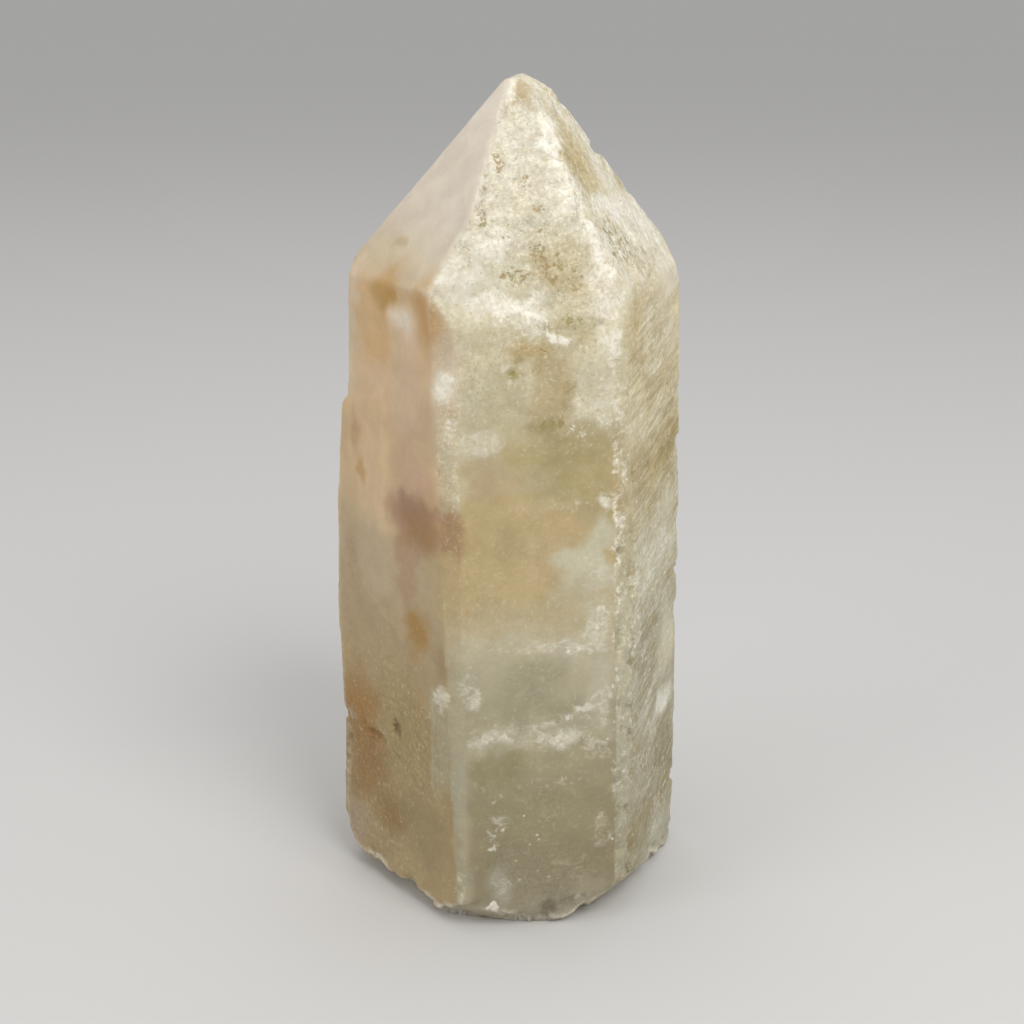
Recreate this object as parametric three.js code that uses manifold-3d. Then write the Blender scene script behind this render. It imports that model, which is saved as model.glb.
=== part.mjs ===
// A single milky quartz crystal: a six-sided prism that ends in one point and
// stands on its broken root. Millimetres, +Z up. The origin is on the flat of
// the root, on the crystal's long axis, and -Y is the front.

import * as THREE from "three";
import { mergeVertices } from "three/addons/utils/BufferGeometryUtils.js";
import Module from "manifold-3d";

// ---------------------------------------------------------------- dimensions
// Lengths are millimetres and angles are degrees.
//
// Every natural face is a plane. turn is the compass direction that it looks
// in, from 0 at -Y round towards +X. lean is how far it looks up from the
// horizontal. It passes through the point that is reach away from the long
// axis, measured along turn, at height above the root.

const STOCK_WIDTH = 60;
const STOCK_HEIGHT = 110;
const SLAB_SIZE = 300;

const SIDES = 6;
const SIDE_ANGLE = 360 / SIDES;
const FRONT_TURN = 10;

// The prism faces, counted round from the front one. Quartz grows unevenly, so
// no two are the same distance out, and each tapers a little.
const PRISM_FACES = [
  { reach: 19.5, lean: 1.0 },
  { reach: 19.1, lean: 0.8 },
  { reach: 19.6, lean: -0.3 },
  { reach: 18.0, lean: 0.6 },
  { reach: 19.6, lean: 3.0 },
  { reach: 18.1, lean: -0.5 },
];

// The six faces of the point. apex is the height at which each would meet the
// axis. A perfect face leans 38 degrees.
const POINT_FACES = [
  { apex: 102.8, lean: 39 },
  { apex: 103.8, lean: 33 },
  { apex: 104.5, lean: 37.5 },
  { apex: 101.0, lean: 38 },
  { apex: 99.9, lean: 37.5 },
  { apex: 102.1, lean: 38 },
];

// Steep faces between the prism and the point, then the two that blunt the tip
// and a slight second taper of the right-hand prism face.
const STEEP_FACES = [
  { turn: FRONT_TURN, reach: 18.3, height: 73.4, lean: 20 },
  { turn: FRONT_TURN + 95, reach: 20.5, height: 77.6, lean: 20 },
  { turn: FRONT_TURN + 180, reach: 17.1, height: 73.0, lean: 18 },
  { turn: FRONT_TURN + 65, reach: 0, height: 100.9, lean: 54 },
  { turn: FRONT_TURN - 80, reach: 0, height: 99.8, lean: 80 },
  { turn: FRONT_TURN + SIDE_ANGLE, reach: 18.4, height: 50, lean: 2.5 },
];

// Narrow worn bands along the prism's upright edges.
const WORN_EDGES = [
  { turn: FRONT_TURN - 30, reach: 21.25, height: 0, lean: 0.6 },
  { turn: FRONT_TURN + 30, reach: 21.5, height: 0, lean: 0.9 },
  { turn: FRONT_TURN + 90, reach: 21.7, height: 0, lean: 0.2 },
  { turn: FRONT_TURN + 150, reach: 21.3, height: 0, lean: 0.3 },
  { turn: FRONT_TURN + 210, reach: 21.1, height: 0, lean: 1.6 },
];

// Breaks that slope under the rim of the root, from the left round to the
// right and then across the back. A negative lean looks down.
const ROOT_BREAKS = [
  { turn: -81, reach: 19.6, height: 0, lean: -20 },
  { turn: -58, reach: 15.6, height: 0, lean: -54 },
  { turn: -12, reach: 17.5, height: 0, lean: -45 },
  { turn: 9, reach: 18.4, height: 0, lean: -50 },
  { turn: 40, reach: 17.6, height: 0, lean: -41 },
  { turn: 55, reach: 16.3, height: 0, lean: -41 },
  { turn: 98, reach: 20.4, height: 0, lean: -40 },
  { turn: 136, reach: 18.0, height: 0, lean: -47 },
  { turn: 164, reach: 19.2, height: 0, lean: -36 },
  { turn: 203, reach: 16.6, height: 0, lean: -50 },
  { turn: 238, reach: 18.4, height: 0, lean: -42 },
];

// Shell-shaped flakes knocked off the rim. reach is the rim there, bite how
// far the flake goes in, rise how far it goes up and radius how round it is.
const FLAKES = [
  { turn: -38, reach: 16.8, bite: 1.2, rise: 1.0, radius: 5 },
  { turn: 27, reach: 17.9, bite: 1.3, rise: 0.9, radius: 4.5 },
  { turn: 82, reach: 20.2, bite: 1.6, rise: 1.8, radius: 6 },
  { turn: 150, reach: 19.0, bite: 2.2, rise: 2.6, radius: 7 },
  { turn: 185, reach: 17.4, bite: 1.8, rise: 2.2, radius: 6 },
  { turn: 252, reach: 18.6, bite: 2.0, rise: 2.4, radius: 6 },
];
const FLAKE_DETAIL = 3;

// Later growth that lies as low plates over the prism. The first bulges along
// the left edge, the second is its step near the root and the third is behind.
// Each plate's faces start with its main one, and it reaches into the prism.
const LEFT_SIDE = FRONT_TURN + 4 * SIDE_ANGLE;
const LEFT_FRONT_SIDE = FRONT_TURN + 5 * SIDE_ANGLE;
const BACK_SIDE = FRONT_TURN + 3 * SIDE_ANGLE;
const PLATE_ROOT_REACH = 8;
const GROWTH_PLATES = [
  [
    { turn: LEFT_SIDE, reach: 18.7, height: 50, lean: 6.5 },
    { turn: LEFT_SIDE, reach: 18.95, height: 45, lean: 2.6 },
    { turn: LEFT_SIDE, reach: 19.3, height: 35, lean: -2 },
    { turn: LEFT_FRONT_SIDE, reach: 18.4, height: 0, lean: -0.5 },
    { turn: LEFT_FRONT_SIDE + 90, reach: -0.5, height: 40, lean: 0.5 },
    { turn: LEFT_SIDE - 90, reach: 6, height: 40, lean: 0 },
    { turn: LEFT_SIDE + 26, reach: 21, height: 62.5, lean: 60 },
    { turn: LEFT_SIDE + 26, reach: 21, height: 22, lean: -70 },
  ],
  [
    { turn: LEFT_SIDE, reach: 20.2, height: 0, lean: 3 },
    { turn: LEFT_FRONT_SIDE, reach: 18.0, height: 0, lean: -0.5 },
    { turn: LEFT_SIDE - 90, reach: 3, height: 10, lean: 8 },
    { turn: LEFT_SIDE + 26, reach: 21, height: 20.5, lean: 70 },
    { turn: LEFT_SIDE, reach: 19, height: 6, lean: -55 },
  ],
  [
    { turn: BACK_SIDE, reach: 18.5, height: 0, lean: 0.6 },
    { turn: BACK_SIDE + 90, reach: 6, height: 40, lean: 2 },
    { turn: BACK_SIDE - 90, reach: 7.5, height: 40, lean: -1 },
    { turn: BACK_SIDE + 15, reach: 18, height: 64, lean: 62 },
    { turn: BACK_SIDE - 20, reach: 18, height: 24, lean: -65 },
  ],
];

// ------------------------------------------------------------------ solids
const wasm = await Module();
wasm.setup();

const { degToRad } = THREE.MathUtils;

function solidFrom(geometry) {
  const bare = geometry.clone();
  bare.deleteAttribute("normal");
  bare.deleteAttribute("uv");
  const merged = mergeVertices(bare);
  const mesh = new wasm.Mesh({
    numProp: 3,
    vertProperties: new Float32Array(merged.attributes.position.array),
    triVerts: new Uint32Array(merged.index.array),
  });
  return new wasm.Manifold(mesh);
}

function geometryFrom(solid) {
  const { vertProperties, triVerts } = solid.getMesh();
  const geometry = new THREE.BufferGeometry();
  geometry.setAttribute("position", new THREE.BufferAttribute(vertProperties, 3));
  geometry.setIndex(new THREE.BufferAttribute(triVerts, 1));
  const flat = geometry.toNonIndexed();
  flat.computeVertexNormals();
  return flat;
}

// The level direction that a compass turn points in.
function outward(turn) {
  const angle = degToRad(turn);
  return new THREE.Vector3(Math.sin(angle), -Math.cos(angle), 0);
}

// The half of space in front of a face, as a slab big enough to cut with.
function slabInFrontOf({ turn, reach, height, lean }) {
  const level = outward(turn);
  const normal = level.clone().multiplyScalar(Math.cos(degToRad(lean)));
  normal.z = Math.sin(degToRad(lean));
  const slab = new THREE.BoxGeometry(SLAB_SIZE, SLAB_SIZE, SLAB_SIZE);
  slab.translate(0, 0, SLAB_SIZE / 2);
  const toNormal = new THREE.Quaternion().setFromUnitVectors(new THREE.Vector3(0, 0, 1), normal);
  slab.applyQuaternion(toNormal);
  slab.translate(level.x * reach, level.y * reach, height);
  return solidFrom(slab);
}

// A block of quartz that stands on the root's level, cut back to the faces.
function cutToFaces(faces) {
  const stock = new THREE.BoxGeometry(STOCK_WIDTH, STOCK_WIDTH, STOCK_HEIGHT);
  stock.translate(0, 0, STOCK_HEIGHT / 2);
  let solid = solidFrom(stock);
  for (const face of faces) {
    solid = solid.subtract(slabInFrontOf(face));
  }
  return solid;
}

// A ball whose surface passes through the top and the inner end of the flake.
function flakeBall({ turn, reach, bite, rise, radius }) {
  const chord = Math.hypot(bite, rise);
  const depth = Math.sqrt(radius ** 2 - (chord / 2) ** 2);
  const centreReach = reach - bite / 2 + (rise / chord) * depth;
  const centreHeight = rise / 2 - (bite / chord) * depth;
  const centre = outward(turn).multiplyScalar(centreReach);
  const ball = new THREE.IcosahedronGeometry(radius, FLAKE_DETAIL);
  ball.translate(centre.x, centre.y, centreHeight);
  return solidFrom(ball);
}

function buildCrystal() {
  const prism = PRISM_FACES.map(({ reach, lean }, side) => {
    return { turn: FRONT_TURN + side * SIDE_ANGLE, reach, height: 0, lean };
  });
  const point = POINT_FACES.map(({ apex, lean }, side) => {
    return { turn: FRONT_TURN + side * SIDE_ANGLE, reach: 0, height: apex, lean };
  });
  let crystal = cutToFaces([...prism, ...point, ...STEEP_FACES, ...WORN_EDGES]);
  for (const plate of GROWTH_PLATES) {
    const inner = { turn: plate[0].turn + 180, reach: -PLATE_ROOT_REACH, height: 0, lean: 0 };
    crystal = crystal.add(cutToFaces([...plate, inner]));
  }
  for (const rootBreak of ROOT_BREAKS) {
    crystal = crystal.subtract(slabInFrontOf(rootBreak));
  }
  for (const flake of FLAKES) {
    crystal = crystal.subtract(flakeBall(flake));
  }
  return crystal;
}

// ------------------------------------------------------------------- object
const milkyQuartz = new THREE.MeshStandardMaterial({
  color: 0xc9bb9f,
  roughness: 0.5,
  metalness: 0,
});

const crystal = new THREE.Mesh(geometryFrom(buildCrystal()), milkyQuartz);
crystal.name = "crystal";

const quartzPoint = new THREE.Group();
quartzPoint.add(crystal);

export default quartzPoint;
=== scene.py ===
"""A milky quartz point on a pale floor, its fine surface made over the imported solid."""

import math
from collections import namedtuple

import bmesh
import bpy
import numpy as np
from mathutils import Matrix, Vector
from mathutils.bvhtree import BVHTree


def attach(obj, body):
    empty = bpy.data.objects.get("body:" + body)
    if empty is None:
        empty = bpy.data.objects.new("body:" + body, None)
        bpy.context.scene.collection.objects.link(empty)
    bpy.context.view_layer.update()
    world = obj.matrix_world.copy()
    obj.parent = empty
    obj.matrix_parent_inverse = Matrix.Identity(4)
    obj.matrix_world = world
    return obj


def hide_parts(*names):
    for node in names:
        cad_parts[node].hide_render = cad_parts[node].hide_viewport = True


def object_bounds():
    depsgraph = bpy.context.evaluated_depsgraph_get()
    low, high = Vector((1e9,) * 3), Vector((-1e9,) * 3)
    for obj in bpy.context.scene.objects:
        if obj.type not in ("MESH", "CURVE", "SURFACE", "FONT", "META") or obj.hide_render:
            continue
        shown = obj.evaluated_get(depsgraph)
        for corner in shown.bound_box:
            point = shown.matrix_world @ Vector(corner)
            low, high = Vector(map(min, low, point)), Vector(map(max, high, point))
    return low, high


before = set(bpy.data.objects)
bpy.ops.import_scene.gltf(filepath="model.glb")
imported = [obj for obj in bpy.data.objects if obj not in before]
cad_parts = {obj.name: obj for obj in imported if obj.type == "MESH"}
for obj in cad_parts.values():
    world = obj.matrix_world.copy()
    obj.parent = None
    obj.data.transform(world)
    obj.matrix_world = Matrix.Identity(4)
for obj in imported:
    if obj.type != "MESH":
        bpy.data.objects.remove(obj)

cad_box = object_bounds()

MM = 0.001
NODE = "crystal"

# ------------ the sides
# A place on the crystal is a side, then across and up in millimetres. across
# is how far right of the side's middle it is, seen from outside, and up is the
# height. turn is the compass direction that a side looks in, from 0 at -Y
# round towards +X.
FRONT_TURN = 10
SIDES = ("front", "right", "back_right", "back", "back_left", "left")
SIDE_TURN = {side: FRONT_TURN + 60 * i for i, side in enumerate(SIDES)}
SHOULDER = 77  # where the prism ends and the point begins

# The worn bands along the upright edges on either side of the front, which
# are marked as if they were narrow sides.
BAND_TURN = {"left_edge": FRONT_TURN - 30, "right_edge": FRONT_TURN + 30}
TURN = {**SIDE_TURN, **BAND_TURN}


def outward(turn):
    angle = math.radians(turn)
    return np.array([math.sin(angle), -math.cos(angle), 0.0])


def rightward(turn):
    angle = math.radians(turn)
    return np.array([math.cos(angle), math.sin(angle), 0.0])


# ------------ colours
def linear(hex_colour):
    """An sRGB hex colour as linear red, green and blue."""
    parts = [int(hex_colour[i : i + 2], 16) / 255 for i in (0, 2, 4)]
    return np.array([p / 12.92 if p <= 0.04045 else ((p + 0.055) / 1.055) ** 2.4 for p in parts])


def rgba(hex_colour):
    return (*linear(hex_colour), 1.0)


FROST = "f8f2e2"
SNOW = "e9e3d1"
CREAM = "cdc5b0"
PEARL = "cabdab"
STRAW = "c5bb9e"
SAGE = "c1ba9e"
WHEAT = "bbb195"
SAND = "b9a985"
HONEY = "b7a376"
DOVE = "a39b7e"
MOSS = "9d9375"
FEN = "928868"
MIRE = "8b8062"
SOOT = "6f6753"
SHELL = "ceb38e"
BLUSH = "cab191"
PEACH = "cbaa7c"
OCHRE = "b38e52"
MAUVE = "a78a69"
PLUM = "a58069"
RUST = "95692b"
BROWN = "8c6a36"

# The body colour of each side, from the root up to the tip. It darkens towards the root partly because the
# lower quartz is clearer and olive, and partly as painted shade where the light falls away low down.
BODY_AND_SHADE = {
    "front": [
        (0, "958c76"), (8, MIRE), (15, FEN), (22, MOSS), (30, DOVE), (37, WHEAT), (43, HONEY),
        (54, HONEY), (61, "b5a681"), (66, STRAW), (73, "cabf9f"), (79, "cfc7ae"), (88, "d1c9b2"),
        (100, "ddd6c3"),
    ],
    "right": [
        (0, "aeaa93"), (10, "938862"), (22, "b4ae95"), (34, "b2ab90"), (44, "cdc7ac"), (50, "c7bd9e"),
        (56, "b6a67b"), (64, "d4c8a5"), (75, "d5c8a6"), (79, "dcd4bd"), (100, "dcd4be"),
    ],
    "back_right": [(0, DOVE), (20, MOSS), (45, SAND), (70, STRAW), (80, CREAM), (100, CREAM)],
    "back": [
        (0, MIRE), (14, FEN), (26, DOVE), (38, WHEAT), (48, HONEY), (60, "b5a681"), (68, STRAW),
        (76, "cabf9f"), (82, "cfc7ae"), (100, "ddd6c3"),
    ],
    "back_left": [
        (0, "9e8c67"), (22, BROWN), (36, "b5a288"), (50, BLUSH), (64, SHELL), (74, PEACH), (81, PEARL),
        (100, "d5cbba"),
    ],
    "left": [
        (0, "a8936b"), (12, "99845a"), (26, "9f8a5e"), (36, "a8936f"), (46, "b5a07f"), (56, "c5a981"),
        (66, "caae88"), (76, PEACH), (80, "c3b498"), (86, PEARL), (100, "d5cbba"),
    ],
    "left_edge": [
        (0, "a39983"), (12, "998c6e"), (18, "a29b80"), (34, "ac9f81"), (44, "b7a480"), (52, SAND),
        (64, "c5b799"), (74, "c3b094"), (79, "c4b9a5"),
    ],
    "right_edge": [
        (0, "a9a188"), (10, "a59d83"), (22, "b4af97"), (40, SAGE), (54, "b9ab87"), (62, "c5b999"),
        (72, "cbc2a4"), (79, CREAM),
    ],
}

# ------------ the marks
# A mark is a ragged oval patch, a stain is one that brings its own colour, and
# a stroke is a ragged line through points. share is how strong it is, tilt
# turns it anticlockwise in degrees, and soft is how gradually it fades. Marks
# are listed under the side that they lie on, or under several joined by +, and
# are measured on the first.
Mark = namedtuple("Mark", "across up wide high share tilt soft", defaults=(1.0, 0, 0.5))
Stain = namedtuple("Stain", "across up wide high share colour tilt soft", defaults=(0, 0.5))
Stroke = namedtuple("Stroke", "points width share soft colour", defaults=(1.0, 0.5, None))


def read(kind, groups):
    """Marks of one kind from rows of their values. Strokes stay as they are."""
    return [
        (sides, [row if isinstance(row, Stroke) else kind(*row) for row in rows])
        for sides, rows in groups
    ]


# The ridge between the point's front and right faces, from the tip down.
BRIGHT_RIDGE = [(2.6, 95.4), (3.4, 92.6), (4.2, 90.3), (5.1, 87.4), (6.0, 85.0), (7.0, 82.6), (8.3, 79.6)]

# Stains under the skin, each over the ones before it.
STAINS = read(Stain, [
    ("front", [
        # the front of the point
        (0.6, 98.2, 2.4, 3.2, 0.95, "b5a27d"), (2.2, 95.6, 2, 4, 0.5, "c4bba0"),
        (-4.8, 83.4, 4, 3.6, 0.8, "e4decc"), (-9, 79.8, 6, 4.2, 0.9, "dad3c0"),
        (-8.6, 77.4, 5, 2.6, 0.5, "cbc4b0"), (2.8, 79.9, 9, 6.6, 0.85, "c2b48f", 8),
        (2.2, 79.4, 5, 3.4, 0.6, "b5a37b", 8), (0.6, 76.8, 6, 2.2, 0.7, "c0b79d"),
        (7.4, 77.6, 3.6, 6.4, 0.95, "dad2bd"),
    ]),
    ("front+right", [
        Stroke(BRIGHT_RIDGE, 1.5, 0.8, 0.9, "f0eada"),
        (3.2, 93.4, 2.2, 2.8, 1, "f8f3e6"),
    ]),
    ("front", [
        # the front, from the shoulder down to the first window
        (-4.6, 76.2, 8, 2.6, 0.8, "dbd4bf"), (-1.6, 75.6, 4.6, 1.8, 0.7, "dcd5c0", -12),
        (-6, 73.2, 6.5, 2.2, 0.6, "c8be9f"), (4, 73.8, 4.8, 3.4, 0.7, "b8ab85", 8),
        (7.9, 72.6, 3, 3.4, 0.9, "dcd5bf"), (-7.6, 60.2, 6, 3.6, 0.6, "c9c0a4", -35),
        (-1, 71.6, 5.2, 1.9, 0.9, "bba472", -10), (-2.5, 70.6, 1.8, 1.3, 0.7, "a8925f"),
        (-3.2, 69.2, 1.4, 1.2, 0.9, "a0965f"), (-9.2, 71.6, 2.4, 7, 0.7, "c8bba0"),
        (6.8, 67, 4.2, 10, 0.8, "d1c9ad"), (1.3, 66.4, 5, 8.8, 0.9, "b6a47c", 0, 0.16),
        (-3.9, 65.6, 5.4, 7.4, 0.7, "bfb592", 0, 0.14), (3.3, 66.6, 1.3, 3.6, 0.5, "a8976c"),
        (1, 63, 5, 1.8, 0.7, "a5956b"), (-7, 61.8, 5, 3.6, 0.8, "c8bea3", -30, 0.3),
        # the front's olive window and the peach under it
        (2.8, 57.6, 13.6, 10.2, 0.95, "ae9e70", 3, 0.25), (6, 60.4, 5, 4.4, 0.7, "a59668"),
        (-1.6, 61.2, 5.6, 2.2, 0.6, "bdb08c", -12, 0.8), (1.6, 58.6, 3.6, 5.6, 0.5, "a39465", 20, 0.8),
        (-6.3, 57.4, 4.8, 6, 0.8, "b5a17d", 0, 0.3), (-1.2, 56.8, 5.4, 4, 0.5, "bbab89"),
        (0.5, 53.6, 10, 1.8, 0.5, "c0b18d", 5), (6, 52, 5, 3.6, 0.7, "ad9e74", -20, 0.8),
        (-1.8, 52.6, 4, 3, 0.6, "c0a97e", 30, 0.8), (-3.4, 49.6, 5, 5.4, 0.7, "ad9b70"),
        (2.4, 51.2, 6, 2.4, 0.6, "bea57a", -12), (0.6, 47, 4, 7, 0.5, "bca781"),
        (5.9, 46.2, 6.4, 8.2, 0.95, "c3bda2", 0, 0.3), (4.7, 41.8, 7, 4.6, 0.6, "bab094"),
        (7.3, 39.4, 4, 5.4, 0.8, SAGE), (-6.4, 41, 5, 6, 0.5, "b7a580"),
        # the front's lower windows
        (4.7, 35.4, 6, 2.8, 0.7, "b7af97"), (-1, 31.8, 9.6, 7, 0.95, "a19a7d", 0, 0.35),
        (7.3, 30.6, 3.6, 8.4, 0.8, "b8b198"), (-8, 32.4, 2.6, 7, 0.6, "b0a78c"),
        (0, 25.4, 18, 3.8, 0.7, "b5ad93", 2), (-5.2, 21, 7, 4.6, 0.85, "8f8661", 4),
        (3, 21.6, 9, 4, 0.5, "9f9677", 4), (1.5, 14.6, 11, 9, 0.6, FEN), (0, 8.8, 11, 5.4, 0.8, "8d8367"),
        (-8, 10, 1.8, 10, 0.6, "918365"), (6.2, 4.4, 4.4, 3.2, 0.6, "a49a82"),
        (-4.6, 5.8, 3, 5.8, 0.7, "a6a08c"), (1.2, 3, 1.6, 2.8, 0.95, SOOT),
        (4, 3.4, 4.4, 0.8, 0.8, "7f7661", 6),
    ]),
    ("left", [
        # the left of the point
        (5.5, 88, 3, 18, 0.5, "d0c6b5"), (-4.4, 80.4, 6.4, 3.8, 0.85, "beae8f", 8, 0.8),
        (-0.8, 82.1, 2.6, 1.1, 0.8, "b09d79"), (6, 80.4, 4.4, 1.8, 0.5, "c7b9a0"),
        # the left, from the shoulder down to the smudge
        (-1, 79, 16, 3, 0.6, "c0a887", 0, 0.9), (0.4, 76.9, 4.6, 4.2, 0.95, OCHRE, 12, 0.7),
        (1.2, 76.6, 2, 2.2, 0.8, "b08742"),
    ]),
    ("left+left_edge", [
        (5.6, 77.2, 6.4, 1.7, 0.85, "b7986c", -3), (7.6, 75.4, 3.2, 7, 0.95, "b88f56", 0, 0.7),
    ]),
    ("left", [
        (-1.4, 70.6, 5, 6.4, 0.8, "cba776"), (-2.8, 66.2, 5, 4, 0.6, "ceb290"),
        Stroke([(-6, 78.5), (-7, 71.5), (-7.2, 65)], 2.4, 0.8, 0.9, "cbb99f"),
        (4.3, 68.8, 5, 9, 0.9, BLUSH), (3.2, 74.2, 4.2, 4.4, 0.95, "dcc9b0"),
        (4, 63.4, 5.2, 6.4, 0.7, "c5ad8f"), (-2.2, 57.8, 5, 7, 0.7, "ccb28b"),
        (-2.8, 52, 5.6, 8, 0.9, SHELL, 0, 0.4), (3.6, 57.8, 5.2, 7, 0.8, "bfa283"),
        (7.4, 61.4, 4.4, 7, 0.6, "bea484"), (9.4, 70.2, 2.2, 3.6, 0.8, "bc9f76"),
    ]),
    ("left_edge", [(0.2, 65, 2, 2.6, 0.8, "b99c72")]),
    ("left_edge+left", [(-1, 66.9, 3, 3.6, 0.9, "e0d6c2"), (-0.2, 68.8, 1.6, 1.6, 0.8, "e0d6c2")]),
    ("left_edge", [(0.4, 62.8, 2.6, 3.6, 0.6, "cfc3a6")]),
    ("left_edge+front", [(1, 57, 2.2, 4.6, 0.6, "c6bb9c")]),
    ("left", [
        (-6.2, 59.4, 1.8, 5.4, 0.8, "b5946a"), (-5.4, 54.9, 1.8, 2.4, 0.9, "b18f5c"),
        # the left's smudge and what is under it
        (6.8, 55.8, 3.6, 3, 0.8, "c29e82"),
    ]),
    ("left+left_edge", [(9.2, 44.8, 6, 8.4, 0.85, "b39e72")]),
    ("left", [(2.6, 45.2, 4.4, 11, 0.9, MAUVE, 0, 0.4), (3.4, 51.8, 6, 5, 0.9, PLUM, 0, 0.9)]),
    ("left+left_edge", [(7, 50.2, 9.6, 6, 0.95, "9b7548", -4, 0.8)]),
    ("left_edge+front", [
        (-0.1, 51.6, 3.6, 3.4, 0.9, "a1835b", 0, 0.3), (-0.1, 49.4, 3.4, 3.4, 0.9, "a1835b", 0, 0.3),
    ]),
    ("left+left_edge", [Stroke([(2.2, 53.4), (5, 52), (8, 52.4), (10.4, 53)], 1.6, 0.45, 1, "936f56")]),
    ("left", [
        (-2.8, 43.6, 6, 10, 0.8, "b6a283"), (-8.2, 41.2, 3.4, 10, 0.7, "a99171"),
        (9.2, 37.8, 4.4, 5.4, 0.7, "ab9873"), (9.3, 34.5, 3.6, 3.4, 0.8, "a08660"),
        (4.5, 37, 4.6, 5.8, 0.95, "a07b3b"), (-5.6, 33, 8.6, 8.4, 0.8, "aa9470"),
        # the left's brown foot
        (-7, 22, 6.6, 10.4, 0.85, RUST, 0, 0.9), (-6.4, 24.4, 3.6, 5, 0.35, "9b7134", 0, 0.9),
        (-7, 15, 7.4, 8.6, 0.85, BROWN, 0, 0.9), (8.8, 24, 4.4, 14, 0.9, "a29879", 0, 0.3),
        (-1.8, 10.4, 5.4, 4, 0.85, "8a6b3a", 15, 0.8), (-8.8, 6, 4.8, 5.8, 0.8, "a18c73"),
        (4.6, 9.6, 8.4, 8.4, 0.6, "8f7d56"),
        Stroke([(7.3, 31), (7, 24), (6.9, 18)], 0.6, 0.35, 0.8, "b8ae93"),
    ]),
    ("left_edge+front", [
        Stroke([(1.2, 37), (1.2, 26), (1.3, 17), (1.6, 7), (1.8, 2)], 1.5, 0.55, 0.8, "aaa288"),
    ]),
    ("right", [
        # the right of the point
        (-1, 89.4, 6.4, 9, 0.95, "c6b68a", -20, 0.6), (-2.8, 87.2, 4, 3.4, 0.6, "bfb58f"),
        (0.6, 85, 10, 3, 0.9, "f2edde", -12), (2.4, 82, 10, 2.6, 0.6, "ebe6d2"),
        (-6.6, 83, 6, 2.4, 0.7, "eeeadb"), (8.8, 83, 5, 6, 0.7, "efeada"),
        (0, 79.4, 16, 2.6, 0.5, "ddd5bd"),
        # the right
        (8, 75.6, 6, 5, 0.8, "e2d8c0"),
    ]),
    ("right+right_edge", [(-6, 74, 8.4, 3.6, 0.85, "ccb98c", 25)]),
    ("right", [
        (8.6, 69.8, 6, 6, 0.7, "dad0b2"), (3.4, 64.8, 11, 3, 0.6, "cfbf9a", 14),
        (0.6, 60.6, 12, 2.8, 0.6, "ded3b5", 12), (2.2, 55.2, 15, 4.6, 0.9, "b29f68", 12),
    ]),
    ("right+right_edge", [(-7, 53.6, 7, 3.4, 0.6, "bdae8a", 12)]),
    ("right", [
        (-3, 43.4, 11, 5, 0.7, "d4ceb4", 12), (7.6, 39, 5, 4.4, 0.6, WHEAT),
        (-5.6, 34, 8, 6, 0.7, "aba388"), (6.4, 30.2, 9.6, 9.8, 0.9, "d0caab", 20, 0.4),
        (5, 21.8, 10, 3.4, 0.85, "c8c3ae"), (5.2, 15.4, 11, 6.4, 0.8, "938a64"),
        (-5.4, 15, 8.4, 5.4, 0.6, "a59e84"), (3, 4.6, 15, 5.4, 0.8, "b3af9a"),
    ]),
    ("back_right", [
        # the sides that look away from the photograph
        (2, 62, 10, 9, 0.8, "b0a07a", 12), (-3, 50, 9, 8, 0.7, HONEY), (-4, 36, 9, 10, 0.8, SAGE, 6, 0.3),
        (5, 26, 7, 9, 0.7, DOVE), (-4, 14, 8, 9, 0.7, MIRE), (0, 82, 10, 5, 0.7, "b7a987"),
    ]),
    ("back", [
        (0.4, 97, 2.4, 4, 0.8, "b5a27d"), (-2.6, 82, 8.4, 5.4, 0.85, "c2b48f", -10),
        (-3, 81.4, 4.6, 3, 0.6, "b5a37b", -10), (5, 77.4, 8, 3.4, 0.8, "dbd4bf", 6),
        (-6.4, 73, 5, 6.4, 0.7, "d1c9ad"), (2.6, 70.4, 6.4, 3, 0.9, "bba472", 14),
        (4.6, 64, 4, 7, 0.7, "c6bc9d", 0, 0.3), (-1.4, 57, 13, 9.4, 0.95, "ae9e70", -6, 0.3),
        (-5, 59, 4, 5, 0.6, "a39465"), (-3, 48, 9, 4.6, 0.6, "bea57a", 12),
        (5.4, 46.6, 6, 9, 0.9, "c3bda2", 0, 0.4), (0.6, 31.4, 11, 8, 0.95, "a19a7d", 0, 0.4),
        (0, 22.6, 17, 3.6, 0.7, "b5ad93", -3), (-5.4, 13, 7, 9, 0.8, "94764a"),
        (4.4, 9.6, 7, 8, 0.7, "8d8367"), (1, 2.6, 4, 2, 0.8, SOOT),
    ]),
    ("back_left", [
        (2.4, 77, 10, 3.4, 0.6, OCHRE, -6, 0.9), (4.6, 76.2, 2.4, 2, 0.6, "b08742"),
        (-5, 75, 4, 6, 0.7, "c09c69", 0, 0.8), (-4.6, 67.6, 4.4, 5, 0.8, "dcc9b0"),
        (3.6, 65, 7, 11, 0.7, BLUSH, 0, 0.6), (6.6, 50, 5, 14, 0.7, "c0a384", 0, 0.6),
        (-2, 55, 6, 9, 0.8, SHELL, 0, 0.6), (-6.6, 46.4, 6, 6, 0.6, PLUM, -8, 0.9),
        (-5, 40, 3.4, 9, 0.8, MAUVE), (4, 38, 8, 8, 0.7, "b39e72"), (0.4, 31.6, 3, 4.4, 0.8, "a07b3b"),
        (6.4, 22, 6, 12, 0.8, "a49676", 0, 0.4), (-4, 16, 8, 12, 0.8, RUST), (2, 7, 10, 6, 0.7, "8f7d56"),
    ]),
])

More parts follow.
